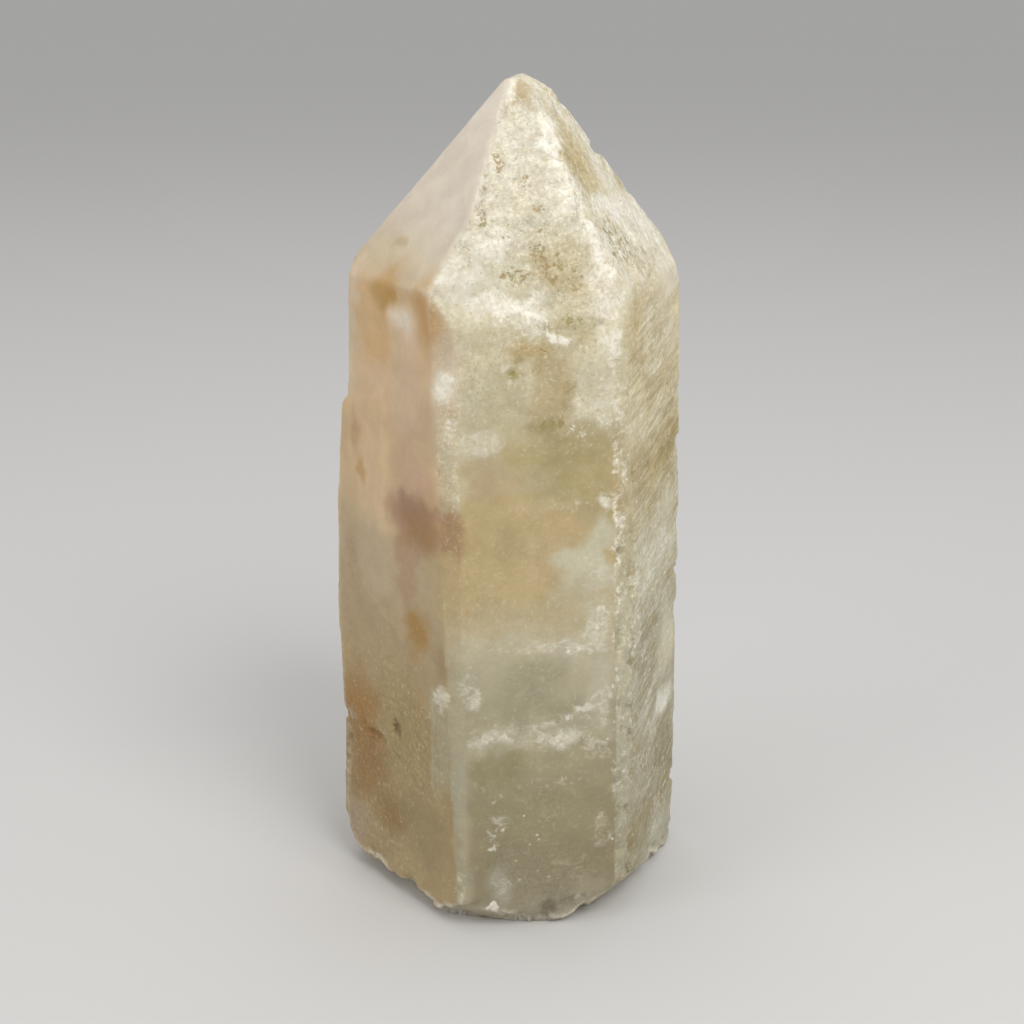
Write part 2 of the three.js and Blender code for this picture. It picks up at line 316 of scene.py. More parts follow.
# How strongly each side is mottled with frost, from the root up to the tip.
FROSTING = {
    "front": [
        (0, 0.2), (20, 0.25), (26, 0.6), (31, 0.15), (38, 0.5), (46, 0.3), (58, 0.25), (64, 0.7),
        (74, 1.0), (80, 1.0), (100, 1.0),
    ],
    "right": [(0, 0.8), (30, 0.6), (44, 0.9), (60, 0.5), (76, 0.7), (80, 1.0), (100, 0.7)],
    "back_right": [(0, 0.4), (30, 0.6), (60, 0.4), (76, 0.6), (80, 1.0), (100, 0.8)],
    "back": [
        (0, 0.2), (20, 0.3), (24, 0.6), (30, 0.15), (38, 0.5), (46, 0.3), (58, 0.25), (66, 0.7),
        (76, 1.0), (100, 1.0),
    ],
    "back_left": [(0, 0.35), (28, 0.35), (40, 0.25), (60, 0.2), (80, 0.15), (100, 0.15)],
    "left": [(0, 0.4), (28, 0.4), (36, 0.25), (50, 0.12), (100, 0.1)],
    "left_edge": [(0, 0.4), (40, 0.3), (60, 0.7), (80, 0.5)],
    "right_edge": [(0, 0.8), (100, 0.8)],
}

# Soft veils of white frost with feathery borders.
VEILS = read(Mark, [
    ("front", [
        (-1, 74.2, 5.6, 2.8, 0.75, -25), (-5, 76.4, 10, 3.6, 0.6), (6.8, 66.5, 5, 9, 0.55),
        (-6.6, 61.6, 7, 3.8, 0.6, -32), (7.4, 53.6, 3, 5, 0.6), (6.6, 45.6, 5.4, 9, 0.5),
        (7.2, 37.6, 4.4, 8, 0.65), (-1, 36.6, 13, 1.8, 0.6, 2), (4.8, 35.6, 5.6, 2, 0.65, -6),
        (-8.3, 33, 2.6, 9, 0.5), (5.2, 28.4, 3.4, 2.4, 0.75), (7.6, 29, 3, 8, 0.6),
        (-0.6, 26.6, 14, 2.4, 0.55, 6), (-5.6, 25.6, 8, 3.4, 0.7, 2, 0.9),
        (2.4, 24.9, 8.6, 3.6, 0.72, 2, 0.9), (6.8, 23, 4, 5.4, 0.6), (-6.4, 19.6, 5, 3.4, 0.5, -10),
        (1, 19, 12, 1.6, 0.5, 4), (-5.4, 13.2, 4.4, 4.4, 0.55, 30), (8, 12, 2.6, 12, 0.5),
        (-4.6, 5.6, 3.4, 6, 0.55, 0, 0.9), (4.6, 3.4, 5, 1.8, 0.5, 8),
    ]),
    ("front+left_edge", [(-8.2, 30.6, 4.8, 5, 0.75, 0, 0.9), (-9.6, 5, 2.6, 8, 0.6)]),
    ("left_edge+left", [(-1, 67, 3.4, 4.6, 0.8), (-1.2, 30.2, 2.6, 3.4, 0.8)]),
    ("left_edge", [(0.2, 60, 3, 9, 0.5)]),
    ("left", [(3.2, 74.2, 4, 4.2, 0.6), (1.2, 66.2, 1.6, 6, 0.5), (5.6, 16.4, 8, 2.4, 0.45, -8)]),
    ("left+left_edge", [(9, 29.4, 3.6, 3.6, 0.55)]),
    ("right", [
        (0.6, 85.2, 9, 3.4, 0.8, -12), (6.6, 82, 8, 7, 0.6), (0, 43.6, 17, 6, 0.65, 12),
        (-4, 31, 9, 8, 0.55), (4.6, 22, 11, 4.6, 0.85), (-3, 18, 14, 8, 0.5), (2, 8, 14, 8, 0.6),
    ]),
    ("right+right_edge", [(-7.6, 82, 6, 5, 0.6), (-7.4, 45.6, 7, 9, 0.6, 10)]),
    ("back_right", [
        (-2, 44, 14, 7, 0.7, 8), (4, 72, 10, 7, 0.6), (-5, 30, 7, 10, 0.6), (3, 14, 12, 5, 0.7, -6),
        (0, 84, 9, 5, 0.7),
    ]),
    ("back", [
        (5, 76.6, 9, 4.4, 0.65), (-6.6, 68, 5, 9, 0.55), (4.4, 63, 7, 3.4, 0.6, 30),
        (6.4, 45, 4.6, 10, 0.6), (-1, 37.4, 13, 2.2, 0.65, -4), (-7, 31, 3, 9, 0.65),
        (0, 23.4, 15, 3.6, 0.75, -3), (5, 14.6, 5.4, 5, 0.55, -20),
    ]),
    ("back_left", [
        (-4.6, 67.4, 4.4, 5.4, 0.85), (5, 58, 5, 8, 0.5), (3, 29, 8, 3.4, 0.7, -6), (-6.6, 52, 3, 8, 0.55),
        (3, 13, 9, 3, 0.55, 8),
    ]),
])

# Thick white crust, which breaks up into flecks where its share is low.
CRUSTS = read(Mark, [
    ("front", [
        (-9, 79.8, 6, 4.4, 0.6), (-4, 76.6, 11, 3.4, 0.7), (-6, 74.4, 7, 2.4, 0.5),
        (-1, 74.3, 4.8, 1.9, 0.72, -25), (7.4, 77.6, 3.6, 6, 0.55), (8, 72.6, 3, 3.2, 0.66),
        (6.6, 66.5, 5, 9, 0.5), (-6.8, 62, 5.4, 3.6, 0.45, -30), (4.6, 62.6, 8, 2.4, 0.6, 6),
        (2.8, 57, 12, 8, 0.4), (3, 53.4, 10, 2, 0.55, 5), (7.6, 53.6, 2.6, 4, 0.7), (6.8, 46, 4, 9, 0.4),
        (1.6, 43, 5, 5, 0.35), (7.6, 39, 3, 6, 0.6), (-1.6, 36.6, 8, 1.2, 0.55, 3),
        (4.6, 35.9, 5.4, 1.6, 0.6, -6), (-8, 30.5, 3.8, 4, 0.5, 0, 1), (4.6, 28.6, 1.8, 3.4, 0.85, 35, 0.9),
        (3.4, 27.4, 3.4, 1.4, 0.7, 0, 0.8), (7.2, 28, 3.4, 7, 0.5), (-5.2, 25.6, 7, 2.4, 0.6, 1, 0.9),
        (2.6, 25, 7, 2.8, 0.64, 2, 0.9), (7.2, 24, 3.6, 3.2, 0.6), (-6, 17.8, 4.4, 1.6, 0.55, -6),
        (3, 19, 6, 1.2, 0.45, 4),
        Stroke([(-6.4, 11.3), (-5.5, 13.4), (-3.8, 14.2)], 1.2, 0.64, 0.9),
        (-5.9, 11.3, 1.2, 1.2, 0.9), (8.7, 11.4, 2.2, 1.8, 0.66), (-4.6, 5.6, 2.8, 5.4, 0.32),
        (-5.6, 3.2, 1.5, 1.5),
    ]),
    ("front+right", [
        (3.2, 93.4, 2.2, 2.8),
        Stroke(BRIGHT_RIDGE, 1.5, 0.7, 0.9),
    ]),
    ("front+right_edge", [
        # a broken line along the edge
        Stroke([(8.7, 74.5), (8.5, 70), (8.9, 66), (8.6, 62)], 2.2, 0.66, 0.9),
        Stroke([(8.9, 61), (8.7, 57), (9.2, 51), (8.9, 45), (9.3, 40)], 1.4, 0.72, 0.9),
        Stroke([(9.9, 58), (9.5, 54), (9.9, 48)], 1.2, 0.66, 0.9),
        Stroke([(9.3, 38), (9.1, 31), (9.5, 24), (9.2, 15)], 1.6, 0.6, 0.9),
    ]),
    ("left_edge+left", [(-1, 66.9, 3.2, 3.8, 0.7, 0, 0.9), (-0.2, 68.6, 1.6, 1.6, 0.9, 0, 0.8)]),
    ("left_edge", [
        (0.4, 63, 2.8, 4, 0.6, 0, 0.8), (0.8, 56.2, 2.4, 5, 0.55), (-0.8, 77, 2, 6, 0.5),
        (-1.3, 42, 2.2, 2, 0.55, 0, 0.9),
    ]),
    ("left", [
        (3.2, 74.2, 3.2, 3.6, 0.55), (1, 68.4, 1.4, 2, 0.5, 0, 0.9), (0.9, 64.4, 1.2, 1.4, 0.5, 0, 0.9),
        (-5, 56.9, 1, 1.2, 0.6, 0, 0.9), (4.6, 41, 2, 2.4, 0.55, 0, 0.9), (8.8, 29.8, 3, 2.6, 0.3, 0, 1),
    ]),
    ("right", [
        (0.6, 85, 9, 2.6, 0.7, -12), (8, 81, 6, 10, 0.6), (0, 44, 18, 7, 0.55, 12),
        (4.4, 21.8, 9, 3.4, 0.75), (-3, 5, 9, 4, 0.55),
    ]),
    ("right+right_edge", [(-8.4, 70, 4, 12, 0.5), (-8, 38, 6, 18, 0.6, 4), (-1, 30, 26, 56, 0.5)]),
    ("back_right", [(-2, 44, 12, 5, 0.6, 8), (4, 74, 8, 5, 0.6), (0, 34, 24, 60, 0.4)]),
    ("back", [
        (5, 76.6, 8, 3.2, 0.66), (-8, 79, 4, 5, 0.6), (-4.8, 71.6, 4, 4, 0.7),
        (3.4, 61.8, 6.4, 2.2, 0.6, -8), (-1, 56, 11, 8, 0.42), (-1, 37.2, 8, 1.6, 0.55, -4),
        (5.4, 44, 3.4, 8, 0.5), (-2, 23.4, 9, 2.6, 0.66, -3), (4.6, 15, 3.6, 2, 0.7, -20),
    ]),
    ("back_left", [
        (-4.6, 67.4, 3.2, 3.6, 0.75, 0, 0.9), (7.6, 60, 2, 12, 0.5), (3, 28.8, 5, 2.4, 0.66),
        (-7.4, 36, 2.2, 10, 0.5),
    ]),
])

# Raised ridges of crust that stand out white.
ARC = [(-4.6, 75.4), (-2.8, 75.3), (-1.2, 74.8), (0.2, 74.4), (0.9, 73.2), (2.4, 72.4)]
RIDGES = read(Mark, [("front", [Stroke(ARC, 1.6, 0.9, 0.9)])])

# Olive and brown hollows in the crust.
PITS = read(Mark, [
    ("front", [
        (-3.2, 91.1, 1.8, 2.6, 0.85), (-0.7, 89, 3.4, 1.8, 0.8, -15), (-5.9, 85.9, 1.3, 4.8, 0.8, -10),
        (0.8, 86, 3, 2.6, 0.75, -30), (1.6, 84.4, 2.6, 1.8, 0.8), (-2.4, 84.6, 6, 6, 0.55),
        (1, 93, 4, 6, 0.3), (0.5, 82.2, 2.6, 1.6, 0.9), (2.6, 80, 8.4, 6, 0.75, 8),
        (-2.4, 79.5, 4.8, 1.6, 0.9), (-7.8, 82, 1.6, 2.4, 0.7), (3.9, 74.4, 3, 1.8, 0.9, 10),
        (-1, 71.5, 5, 1.6, 0.7, -10), (-3.2, 69.3, 1.2, 1, 0.9), (1.6, 66, 5, 9, 0.45),
        (3.3, 66.7, 1.6, 3.8, 0.75), (1, 63.1, 5.6, 2, 0.95), (6.8, 69, 5, 11, 0.45), (-5, 73, 8, 6, 0.35),
        (4.6, 59.6, 9, 6, 0.3),
    ]),
    ("left", [
        (0.2, 79.4, 4, 3, 0.3), (-2, 74.6, 4, 4, 0.35), (2.8, 22.5, 9, 18, 0.72, 0, 0.8),
        (-8, 42, 2.6, 9, 0.7), (-1.6, 10.2, 6, 3.6, 0.6),
    ]),
    ("left_edge", [(1.2, 57.2, 1.6, 5, 0.35)]),
    ("right", [
        (-2, 88, 7, 8, 0.6, -20), (-4, 81.8, 11, 6.4, 0.75), (2, 79.4, 13, 4, 0.65),
        (2, 56, 15, 6, 0.5, 12), (-4, 34, 9, 14, 0.5),
    ]),
    ("right+right_edge", [(-6, 73.4, 8, 4, 0.6, 20)]),
    ("back_right", [(1, 82, 10, 8, 0.7), (-3, 66, 8, 8, 0.5)]),
    ("back", [
        (-2.6, 82, 8.4, 5.4, 0.75, -10), (2, 88, 4, 3, 0.8), (-1, 91.6, 2.4, 2, 0.8),
        (2.6, 70.4, 6.4, 3, 0.75, 14), (-5, 66, 7, 9, 0.4), (-3, 20, 10, 14, 0.4),
    ]),
    ("back_left", [(3, 80.4, 5, 2.6, 0.5), (7.4, 46, 3, 8, 0.6), (0, 20, 10, 14, 0.5)]),
])

# Smoother, glassier windows with white sparks in them.
WINDOWS = read(Mark, [
    ("front", [
        (2.9, 57.6, 12.6, 9.6, 0.9), (-1, 47.5, 13, 10, 0.5), (-1, 31.8, 10, 7, 0.9),
        (0.5, 12, 16, 20, 0.9),
    ]),
    ("left", [(2, 58, 22, 50, 0.35)]),
    ("right", [(6.4, 30.2, 9.6, 9.8, 0.8)]),
    ("back_right", [(2, 60, 11, 9, 0.7), (4, 24, 9, 10, 0.8)]),
    ("back", [(-1.4, 57, 12, 9, 0.9), (0.6, 31.4, 11, 8, 0.9), (0, 11, 16, 18, 0.8)]),
    ("back_left", [(0, 55, 18, 44, 0.4)]),
])

# Skin that is coarse and gritty.
GRITS = read(Mark, [
    ("front", [(0, 89, 24, 30, 0.9, 0, 0.2), (0, 69, 22, 14, 0.45), (0, 47, 22, 18, 0.25)]),
    ("left", [(3, 22, 10, 19), (-4, 14, 16, 34, 0.8)]),
    ("left_edge", [(0.4, 60, 5, 14, 0.6)]),
    ("right", [(0, 90, 24, 30, 0.9, 0, 0.2)]),
    ("right+right_edge", [(0, 40, 28, 90, 0.7, 0, 0.2)]),
    ("back_right", [(0, 60, 24, 90, 0.7, 0, 0.2)]),
    ("back", [(0, 88, 24, 30, 0.9, 0, 0.2), (0, 69, 22, 14, 0.45)]),
    ("back_left", [(0, 18, 20, 30, 0.7)]),
])

# Edges made pale: a painted highlight along the ridge on the left of the point's front, and a painted
# glowing rim along the upright edges that show as the outline on either hand. The rim of the root is worn
# pale as well.
EDGE_HIGHLIGHTS = read(Mark, [
    ("left+front", [(8.5, 88, 10, 24, 0.7)]),
    ("left+back_left", [(-10.5, 40, 4, 80, 0.4)]),
    ("right+back_right", [(10.5, 45, 4, 90, 0.6)]),
])
# This width also sets how far the painted edge highlights reach.
EDGE_BAND_WIDTH = 0.6  # how far the wear reaches from an edge
RIM_HEIGHT = 4  # how far up the pale rim reaches

# Where the steps of the growth plates are too faint to see.
FAINT_STEPS = read(Mark, [
    ("left", [(0.4, 32, 4, 30), (0.4, 58, 3, 18, 0.7)]),
    ("back", [(6, 44, 5, 60, 0.95), (-7, 30, 5, 24, 0.9), (2, 26, 12, 6, 0.8)]),
    ("back_left", [(0, 12, 12, 14, 0.9), (-6, 42, 6, 56, 0.95)]),
])

# Where the colours run into each other over the left edge.
BLENDED = read(Mark, [("left+left_edge", [(8, 69, 10, 26)])])

# How strongly each side is streaked, and how steeply the streaks rise to the
# right in degrees, on the prism and then on the point.
Streaks = namedtuple("Streaks", "prism rise point point_rise")
STREAKS = {
    "front": Streaks(0, 3, 0, 62),
    "right": Streaks(1.0, 9, 0.8, 66),
    "back_right": Streaks(0.6, 5, 0.5, 60),
    "back": Streaks(0, 0, 0, 60),
    "back_left": Streaks(0, 0, 0, 60),
    "left": Streaks(0, 0, 0, 60),
}

# Small bites out of the right side's far edge, the outline in the photo.
NOTCHES = read(Mark, [
    ("right+back_right", [
        (10.6, 72.4, 2.4, 1.5), (10.6, 61.4, 2.4, 1.8), (10.6, 54.8, 2.4, 2.4), (10.8, 38, 2.4, 1.6),
        (10.8, 32.4, 2.4, 2.2), (10.8, 9.4, 2.4, 2),
    ]),
])


# ------------ noise
def smooth_step(low, high, value):
    t = np.clip((value - low) / (high - low), 0, 1)
    return t * t * (3 - 2 * t)


def noise(points, size, seed):
    """Smooth random values from -1 to 1, in blobs about size across."""
    cells = 32
    lattice = np.random.default_rng(seed).uniform(-1, 1, (cells, cells, cells))
    scaled = points / size + 0.37 * seed
    corner = np.floor(scaled).astype(int)
    part = scaled - corner
    part = part * part * (3 - 2 * part)
    total = np.zeros(len(points))
    for dx in (0, 1):
        for dy in (0, 1):
            for dz in (0, 1):
                x, y, z = ((corner + (dx, dy, dz)) % cells).T
                wx = part[:, 0] if dx else 1 - part[:, 0]
                wy = part[:, 1] if dy else 1 - part[:, 1]
                wz = part[:, 2] if dz else 1 - part[:, 2]
                total += lattice[x, y, z] * wx * wy * wz
    return total


def fractal(points, size, seed, octaves=3):
    """Noise with finer and finer noise added to it."""
    total = np.zeros(len(points))
    share, norm = 1.0, 0.0
    for octave in range(octaves):
        total += share * noise(points, size / 2**octave, seed + octave)
        norm += share
        share *= 0.55
    return total / norm


# ------------ fine mesh
VOXEL = 0.45
SHARP_ANGLE = 18
WELD = 1e-7  # metres


def add_object(name, data):
    made = bpy.data.objects.new(name, data)
    bpy.context.scene.collection.objects.link(made)
    return made


def welded(mesh):
    """The mesh with the corners of its faces joined."""
    joined = bmesh.new()
    joined.from_mesh(mesh)
    bmesh.ops.remove_doubles(joined, verts=joined.verts, dist=WELD)
    return joined


def fine_copy(source, name):
    """A copy of a CAD node as an even mesh that is fine enough to shape."""
    piece = add_object(name, source.data.copy())
    solid = welded(piece.data)
    solid.to_mesh(piece.data)
    solid.free()
    remesh = piece.modifiers.new("even", "REMESH")
    remesh.mode = "VOXEL"
    remesh.voxel_size = VOXEL * MM
    graph = bpy.context.evaluated_depsgraph_get()
    mesh = bpy.data.meshes.new_from_object(piece.evaluated_get(graph))
    piece.modifiers.clear()
    piece.data = mesh
    mesh.name = name
    mesh.materials.clear()
    mesh.polygons.foreach_set("use_smooth", [True] * len(mesh.polygons))
    return piece


def points_of(mesh):
    flat = np.empty(len(mesh.vertices) * 3, np.float32)
    mesh.vertices.foreach_get("co", flat)
    return flat.reshape(-1, 3).astype(float) / MM


def put_points(mesh, points):
    mesh.vertices.foreach_set("co", (points * MM).astype(np.float32).ravel())
    mesh.update()


def seat_on(source, points):
    """The nearest points of the CAD solid's faces, and those faces' normals."""
    tree = BVHTree.FromObject(source, bpy.context.evaluated_depsgraph_get())
    seats = np.empty_like(points)
    normals = np.empty_like(points)
    for i, point in enumerate(points):
        seat, normal, _, _ = tree.find_nearest(Vector(point * MM))
        seats[i] = seat
        normals[i] = normal
    return seats / MM, normals


def sharp_edges(source):
    """The two ends of each of the CAD solid's sharp edges."""
    solid = welded(source.data)
    limit = math.radians(SHARP_ANGLE)
    ends = [
        [np.array(vert.co) / MM for vert in edge.verts]
        for edge in solid.edges
        if edge.is_manifold and edge.calc_face_angle() > limit
    ]
    solid.free()
    return ends


def distance_to(points, ends):
    """How far each point is from the nearest of the lines between these ends."""
    nearest = np.full(len(points), 1e9)
    for start, end in ends:
        along = end - start
        t = np.clip((points - start) @ along / max(along @ along, 1e-12), 0, 1)
        gap = points - start - t[:, None] * along
        nearest = np.minimum(nearest, np.sqrt((gap * gap).sum(1)))
    return nearest


def spread(mesh, values, rounds):
    """values with each vertex's evened out among its neighbours."""
    pairs = np.empty(len(mesh.edges) * 2, np.int32)
    mesh.edges.foreach_get("vertices", pairs)
    a, b = pairs.reshape(-1, 2).T
    count = np.bincount(a, minlength=len(values)) + np.bincount(b, minlength=len(values))
    for _ in range(rounds):
        total = np.zeros_like(values)
        for k in range(values.shape[1]):
            total[:, k] = np.bincount(a, values[b, k], len(values))
            total[:, k] += np.bincount(b, values[a, k], len(values))
        values = 0.5 * values + 0.5 * total / count[:, None]
    return values


def along_the_ground(directions):
    """Directions laid flat, one unit long unless they are nearly upright."""
    flat = directions[:, :2]
    return flat / np.maximum(np.linalg.norm(flat, axis=1), 0.05)[:, None]


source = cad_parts[NODE]
quartz = fine_copy(source, "milky_quartz")
seats, facing = seat_on(source, points_of(quartz.data))
edge_gap = distance_to(seats, sharp_edges(source))
soft_facing = spread(quartz.data, facing, 4)
soft_facing /= np.linalg.norm(soft_facing, axis=1)[:, None]

# A vertex starts and stops belonging to a side or a band between these cosines
# of the angle from the way it looks.
SIDE_REACH = (0.80, 0.93)
BAND_REACH = (0.965, 0.995)


def side_shares():
    """How far each vertex belongs to each side and band, from 0 to 1."""
    level = along_the_ground(spread(quartz.data, facing, 1))
    # The narrow side of a growth plate looks along its side, so it is told by
    # where it lies.
    around = along_the_ground(seats)
    looks_out = smooth_step(0.5, 0.75, (along_the_ground(facing) * around).sum(1))[:, None]
    level = looks_out * level + (1 - looks_out) * around
    level /= np.linalg.norm(level, axis=1)[:, None]
    shares = {side: smooth_step(*SIDE_REACH, level @ outward(SIDE_TURN[side])[:2]) for side in SIDES}
    for band, turn in BAND_TURN.items():
        on_band = smooth_step(*BAND_REACH, level @ outward(turn)[:2])
        shares = {side: share * (1 - on_band) for side, share in shares.items()}
        shares[band] = on_band
    total = np.maximum(sum(shares.values()), 0.2)
    return {side: share / total for side, share in shares.items()}


SHARE = side_shares()


# ------------ markings
# Wobbles of three sizes, in millimetres, that make the borders ragged.
FINE, MIDDLE, BROAD = 1.0, 2.5, 6.0
WARP_SEEDS = (3, 17, 29)
WARP = {
    size: np.stack([noise(seats, size, seed) for seed in WARP_SEEDS], 1)
    for size in (FINE, MIDDLE, BROAD)
}


def warped(reach, size):
    """The vertices' places, moved by wobbles that reach this far."""
    return seats + reach * WARP[size] + 0.4 * reach * WARP[FINE]


def fade(distance, soft):
    """1 inside and 0 outside, changing where distance passes 1."""
    return smooth_step(1 + soft, 1 - soft, distance)


def cover(sides, mark):
    """From 0 to 1, how far each vertex lies inside a mark or stroke on these sides."""
    names = sides.split("+")
    on_sides = sum(SHARE[name] for name in names)
    right = rightward(TURN[names[0]])
    if isinstance(mark, Stroke):
        places = warped(0.35 * mark.width, FINE)
        flat = np.stack([places @ right, places[:, 2], np.zeros(len(places))], 1)
        corners = [np.array([across, up, 0.0]) for across, up in mark.points]
        distance = distance_to(flat, list(zip(corners, corners[1:]))) / (mark.width / 2)
        return mark.share * fade(distance, mark.soft) * on_sides
    narrow = min(mark.wide, mark.high)
    size = FINE if narrow < MIDDLE else MIDDLE if narrow < 7 else BROAD
    places = warped(0.28 * narrow, size)
    x = places @ right - mark.across
    y = places[:, 2] - mark.up
    c, s = math.cos(math.radians(mark.tilt)), math.sin(math.radians(mark.tilt))
    u = (c * x + s * y) / (mark.wide / 2)
    v = (c * y - s * x) / (mark.high / 2)
    return mark.share * fade(np.sqrt(u * u + v * v), mark.soft) * on_sides


def laid_on(groups):
    """The marks' strengths over the crystal, where the strongest one counts."""
    total = np.zeros(len(seats))
    for sides, marks in groups:
        for mark in marks:
            total = np.maximum(total, cover(sides, mark))
    return total


def body_colour_and_shade():
    """Each vertex's colour under the frost, darker low down partly with painted shade, with the stains laid
    over it.
    """
    colour = np.zeros((len(seats), 3))
    height = seats[:, 2] + 1.6 * WARP[BROAD][:, 0] + 0.6 * WARP[MIDDLE][:, 1]
    for side, stops in BODY_AND_SHADE.items():
        heights = [stop[0] for stop in stops]
        tones = np.array([linear(stop[1]) for stop in stops])
        tone = np.stack([np.interp(height, heights, tones[:, k]) for k in range(3)], 1)
        colour += SHARE[side][:, None] * tone
    left_over = 1 - np.clip(sum(SHARE.values()), 0, 1)
    colour += left_over[:, None] * linear(CREAM)
    for sides, stains in STAINS:
        for stain in stains:
            share = cover(sides, stain)[:, None]
            colour = colour * (1 - share) + share * linear(stain.colour)
    return colour


def frosting():
    """How strongly each vertex is mottled with frost."""
    share = np.zeros(len(seats))
    height = seats[:, 2] + 1.5 * WARP[BROAD][:, 1] + 0.8 * WARP[MIDDLE][:, 0]
    for side, stops in FROSTING.items():
        share += SHARE[side] * np.interp(height, *zip(*stops))
    patchy = 1 + 0.3 * WARP[BROAD][:, 2] + 0.3 * WARP[MIDDLE][:, 1]
    return np.clip(share * patchy, 0, 1)


colour = body_colour_and_shade()
colour += laid_on(BLENDED)[:, None] * (spread(quartz.data, colour, 12) - colour)
frost = frosting()
ridge = laid_on(RIDGES)
crust = np.maximum(laid_on(CRUSTS), ridge)
veil = laid_on(VEILS)
pits = laid_on(PITS)
glass = laid_on(WINDOWS) * (1 - 0.7 * crust)
grit = laid_on(GRITS)
faint = laid_on(FAINT_STEPS)
notched = laid_on(NOTCHES)
near_edge = np.exp(-((edge_gap / EDGE_BAND_WIDTH) ** 2)) * (1 - faint)
# pale holds real pale wear on the root's rim and painted highlights along the ridge and the outline edges.
pale = near_edge * np.maximum(laid_on(EDGE_HIGHLIGHTS), smooth_step(RIM_HEIGHT, RIM_HEIGHT / 2, seats[:, 2]))


# ------------ relief
def flow_places():
    """Places measured along the streaks, across them and out of the face, and how
    strong the streaks are."""
    shares = np.stack([SHARE[side] for side in SIDES])
    owner = shares.argmax(0)
    on_point = seats[:, 2] > SHOULDER
    flow = np.zeros_like(seats)
    strength = np.zeros(len(seats))
    for i, side in enumerate(SIDES):
        streaks = STREAKS[side]
        right = seats @ rightward(TURN[side])
        out = seats @ outward(TURN[side])
        prism = (streaks.rise, streaks.prism, ~on_point)
        point = (streaks.point_rise, streaks.point, on_point)
        for rise, amount, part in (prism, point):
            c, s = math.cos(math.radians(rise)), math.sin(math.radians(rise))
            along = c * right + s * seats[:, 2]
            over = c * seats[:, 2] - s * right
            here = (owner == i) & part
            flow[here] = np.stack([along, over, out], 1)[here]
            strength[here] = amount
    inside = smooth_step(0.55, 0.9, shares.max(0)) * smooth_step(0.3, 2.0, np.abs(seats[:, 2] - SHOULDER))
    patchy = smooth_step(-0.5, 0.3, noise(seats, 7.0, 71))
    return flow, strength * inside * (0.35 + 0.65 * patchy)


flow, streak = flow_places()

# Each kind of roughness: how far it moves the surface and how large it is, in
# millimetres, and its seed.
Rough = namedtuple("Rough", "depth size seed")
SWELL = Rough(0.10, 14, 41)
WAVE = Rough(0.05, 4, 43)
CRUMBS = Rough(0.12, 1.4, 47)
HOLLOWS = Rough(0.10, 1.5, 53)
STREAKED = Rough(0.16, 1.1, 59)
CHIPS = Rough(0.9, 2.2, 61)
RIM_BITES = Rough(1.5, 2.8, 67)
CRUST_HEIGHT = 0.04
RIDGE_HEIGHT = 0.15
NOTCH_DEPTH = 0.8
WEAR = 0.04

# The bites in the root's rim fade out from foot to top, and over this width.
RIM_FOOT = 0.5
RIM_TOP = 7
RIM_WIDTH = 2.2

# How noise is squeezed along, over and out of the face to make streaks.
STREAK_SQUEEZE = (0.14, 1.0, 0.6)


def bumps(rough, places=seats):
    """Noise of one kind of roughness, from -1 to 1."""
    return fractal(places, rough.size, rough.seed)


def relief():
    """How far out each vertex moves, in millimetres."""
    push = SWELL.depth * bumps(SWELL)
    push += WAVE.depth * bumps(WAVE)
    push += crust * (CRUMBS.depth * bumps(CRUMBS) + CRUST_HEIGHT)
    push += RIDGE_HEIGHT * ridge
    push -= HOLLOWS.depth * pits * smooth_step(0.0, 0.7, bumps(HOLLOWS))
    push += STREAKED.depth * streak * bumps(STREAKED, flow * STREAK_SQUEEZE)
    push -= WEAR * near_edge
    chipped = np.exp(-(edge_gap**2)) * smooth_step(0.2, 0.7, grit)
    push -= CHIPS.depth * chipped * smooth_step(0.05, 0.45, bumps(CHIPS))
    push -= NOTCH_DEPTH * notched
    rim = smooth_step(RIM_TOP, RIM_FOOT, seats[:, 2]) * np.exp(-((edge_gap / RIM_WIDTH) ** 2))
    push -= RIM_BITES.depth * rim * smooth_step(-0.2, 0.7, bumps(RIM_BITES))
    return push


def shape_surface():
    """Rough the mesh, inside the CAD solid's box and flat where it stands."""
    on_floor = (facing[:, 2] < -0.98) & (seats[:, 2] < 0.2)
    push = relief()
    push[on_floor] = 0
    evened = spread(quartz.data, seats, 2)
    evened += faint[:, None] * (spread(quartz.data, seats, 10) - evened)
    low, high = (np.array(corner) / MM for corner in cad_box)
    shaped = np.clip(evened + soft_facing * push[:, None], low, high)
    shaped[on_floor, 2] = 0
    put_points(quartz.data, shaped)


shape_surface()


def keep(name, values, kind="FLOAT"):
    """Give the quartz's vertices an attribute that its material reads."""
    attribute = quartz.data.attributes.new(name, kind, "POINT")
    field = {"FLOAT": "value", "FLOAT_VECTOR": "vector", "FLOAT_COLOR": "color"}[kind]
    attribute.data.foreach_set(field, np.ascontiguousarray(values, np.float32).ravel())


keep("body_colour_and_shade", np.c_[colour, np.ones(len(colour))], "FLOAT_COLOR")
keep("flow", flow, "FLOAT_VECTOR")
FIELDS = {
    "frost": frost, "veil": veil, "crust": crust, "pits": pits,
    "glass": glass, "grit": grit, "streak": streak, "pale": pale,
}
for name, values in FIELDS.items():
    keep(name, values)


